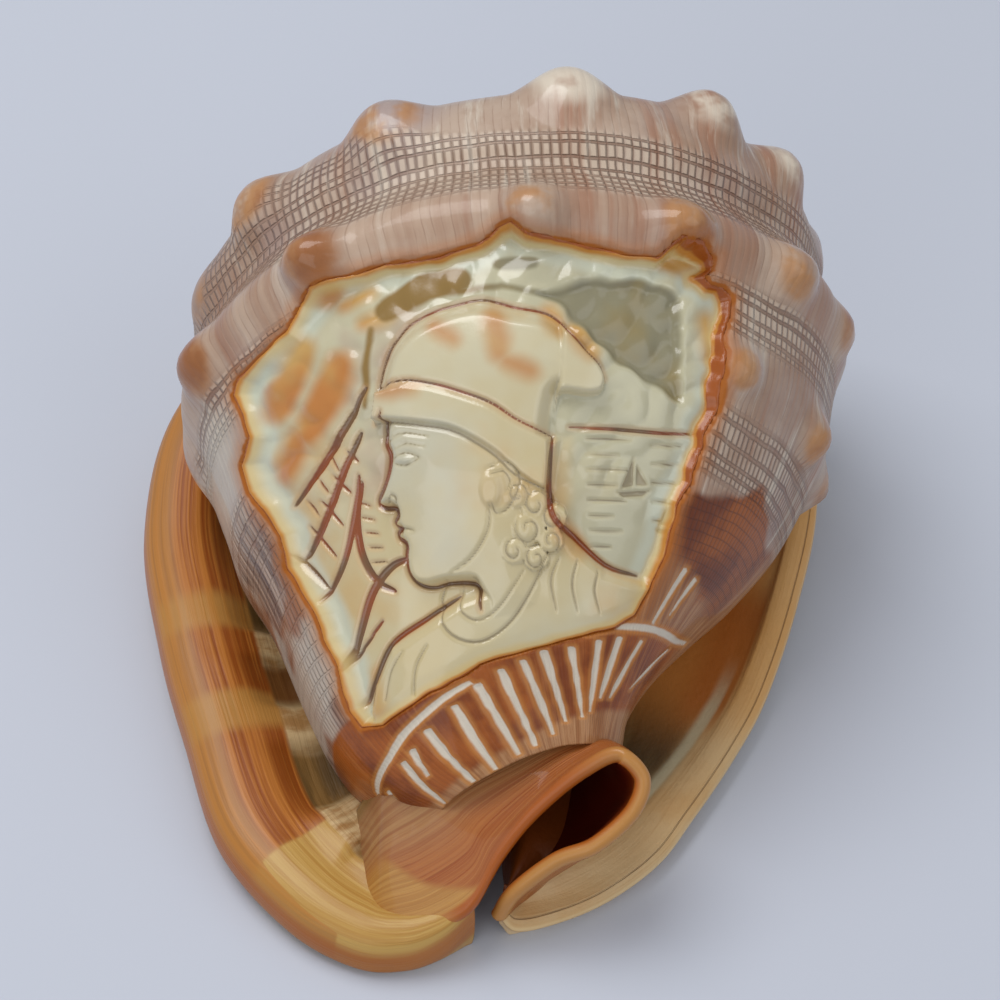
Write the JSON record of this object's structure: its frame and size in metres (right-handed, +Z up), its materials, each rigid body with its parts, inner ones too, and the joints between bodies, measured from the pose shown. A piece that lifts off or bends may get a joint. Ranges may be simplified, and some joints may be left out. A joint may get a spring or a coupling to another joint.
{
  "type": "helmet shell",
  "caption": "Knobbed bullmouth helmet shell lying on its flat mouth, with a rolled outer lip, a broad inner shield, a curled canal and a cameo bust carved in its back",
  "frame": {"origin": "centre of the base, on the surface the shell lies on", "axes": "+Z up through the shell's back, -Y toward the canal end, +Y toward the spire, +X toward the inner shield"},
  "size_m": [0.1181, 0.1394, 0.0907],
  "materials": {
    "polished_shell": "polished shell: pink-grey knobbed back, orange lip and canal, ivory cameo"
  },
  "bodies": {
    "root": {"shell": "polished_shell"}
  },
  "joints": []
}
